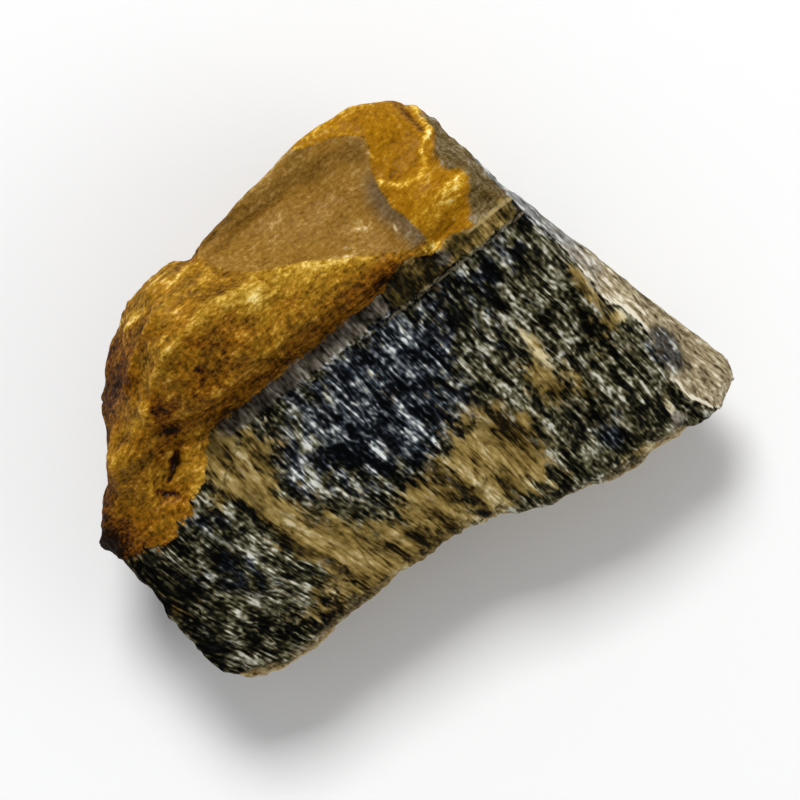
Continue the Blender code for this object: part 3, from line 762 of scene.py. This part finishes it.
    # The smooth patches' tone, with the same painted highlights and painted shade
    sheen = silk * 0.40 + clouds * 0.40 + flecks * 0.75 + fine_edge_wear_and_shading * 1.4 + broad_edge_dirt_and_shading * 0.1
    sheen = sheen + 0.5 + laid("painted_highlights") * 0.16 - laid("stain_and_shade") * 0.17
    amber = tones(
        sheen, (0.18, (84, 50, 3)), (0.40, (138, 92, 5)), (0.58, (160, 110, 12)), (0.70, (186, 138, 28)),
        (0.84, (236, 194, 84)), (0.96, (252, 234, 164)),
    )
    dish = tones(
        sheen, (0.18, (88, 58, 14)), (0.40, (129, 92, 30)), (0.58, (148, 110, 44)), (0.74, (180, 146, 82)),
        (0.92, (242, 222, 178)),
    )
    plum = tones(
        sheen, (0.18, (66, 47, 26)), (0.40, (98, 76, 46)), (0.58, (116, 94, 62)), (0.80, (146, 126, 94)),
        (0.98, (226, 208, 170)),
    )
    brown = tones(
        sheen, (0.18, (52, 36, 10)), (0.40, (108, 76, 24)), (0.58, (132, 97, 38)), (0.80, (176, 140, 80)),
    )
    # The grey patch's tone: raised edges lighter, as wear and painted highlight, and stained places darker,
    # partly as painted shade
    ashy = clouds * 0.6 + flecks * 0.6 + streaks * 0.5 + fine_edge_wear_and_shading * 0.8 + 0.5 - laid("stain_and_shade") * 0.2
    ash = tones(
        ashy, (0.16, (30, 22, 4)), (0.40, (89, 70, 32)), (0.56, (117, 100, 66)), (0.75, (151, 140, 118)),
    )
    edge = flecks * 0.9 + clouds * 0.6
    rusted = (clouds * 1.2 + flecks * 1.2 + laid("stain_and_shade") * 0.4 + 0.45).between(0.25, 0.75)
    golden = mixed(rusted, gold, rust)
    golden = mixed((laid("scoop") + edge).between(0.25, 0.75), golden, dish)
    golden = mixed((laid("strip") + edge).between(0.30, 0.80), golden, brown)
    golden = mixed((laid("mauve") + edge * 0.5).between(0.05, 1.0), golden, plum)
    golden = mixed((laid("orange") + edge * 0.8 + silk * 0.6).between(0.25, 0.75), golden, amber)
    golden = mixed((laid("grey") + edge * 1.2 + silk * 1.4).between(0.20, 0.80), golden, ash)

    # rim: silver above, tan below, streaked along the rim and whitest at its inner edge, with wear and a
    # painted highlight along that edge
    leaning = Shade.node("ShaderNodeVectorRotate", {0: place, 3: RIM_LEAN})
    slivers = speckle(leaning, (0.36, 1.9, 0.36), 3.0, 11)
    inner_wear_and_highlight = 1.0 - (laid("rim") - 0.22 + clumps * 0.6).math("ABSOLUTE").between(0.06, 0.30)
    # Raised edges lighter, as wear and painted highlight, and stained places darker, partly as painted
    # shade
    silver = slivers * 1.7 + grains * 0.35 + clumps * 0.4 + fine_edge_wear_and_shading * 0.7 + 0.50
    silver = silver + inner_wear_and_highlight * (streaks * 1.2 + 0.26 - depth.between(-8.0, -5.0) * 0.16)
    silver = silver - laid("stain_and_shade") * 0.16
    cool = tones(
        silver, (0.16, (32, 33, 35)), (0.34, (78, 78, 79)), (0.50, (112, 112, 111)),
        (0.66, (142, 142, 139)), (0.86, (206, 206, 202)),
    )
    warm = tones(
        silver, (0.16, (40, 34, 24)), (0.34, (105, 92, 66)), (0.50, (146, 131, 100)),
        (0.66, (172, 158, 128)), (0.86, (222, 214, 192)),
    )
    pale = mixed((depth + clouds * 12.0 - laid("rim") * 1.5).between(-8.5, 1.5), warm, cool)

    # crusts: iron brown behind, tan and grey in front
    lumps = speckle(place, (1.6, 1.6, 1.3), 3.0, 9)
    pits = speckle(place, (0.8, 0.8, 0.7), 2.0, 16).between(-0.14, -0.04)
    # Raised edges lighter and hollows darker, as wear, dirt, painted highlight and painted shade, and
    # stained places darker, partly as painted shade
    knobbly = lumps * 0.8 + flecks * 0.9 + grains * 0.35 + pits * 0.22 + fine_edge_wear_and_shading * 1.2 + broad_edge_dirt_and_shading * 0.25
    knobbly = knobbly + 0.30 - laid("stain_and_shade") * 0.15
    iron = tones(
        knobbly, (0.18, (14, 7, 0)), (0.38, (58, 34, 2)), (0.58, (106, 69, 8)), (0.82, (160, 116, 30)),
    )
    tan = tones(
        knobbly, (0.18, (36, 27, 12)), (0.34, (104, 83, 42)), (0.52, (152, 125, 76)),
        (0.76, (198, 178, 134)),
    )

    # the kinds of surface, one over another: fibres, cap, crusts, and the rim with its slate
    ragged = laid("cap") + flecks * 0.9 + clouds * 0.7 + (columns + streaks) * laid("torn") * 1.6
    colour = mixed(ragged.between(-0.16, 0.12), fibre, golden)
    colour = mixed(laid("front"), colour, tan)
    # the iron crust behind, which on the shoulder's brink is partly painted shade
    colour = mixed(laid("back"), colour, iron)
    shown = (laid("rim") + streaks * 0.8 + grains * 0.6).between(-0.14, 0.14)
    slated = (laid("slate") + slivers * 1.4).between(0.30, 0.80)
    colour = mixed(shown * (1.0 - slated * 0.85), colour, pale)

    # a dull shine, duller still on steep sides
    relief = streaks * 0.7 + grains * 0.4 + flecks * 0.5
    bump = Shade.node("ShaderNodeBump", {"Height": relief, "Strength": 0.8, "Distance": GRAIN_HEIGHT})
    roughness = 0.36 - clumps * 0.4 - flecks * 0.4 + laid("steep") * 0.45
    material.node_tree.links.new(colour.socket, shader.inputs["Base Color"])
    material.node_tree.links.new(roughness.socket, shader.inputs["Roughness"])
    material.node_tree.links.new(bump.socket, shader.inputs["Normal"])
    shader.inputs["IOR"].default_value = 1.28
    shader.inputs["Specular IOR Level"].default_value = 0.12
    return material


skin.materials.clear()
skin.materials.append(tigers_eye())
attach(stone, "root")
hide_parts("tigers_eye_stone")
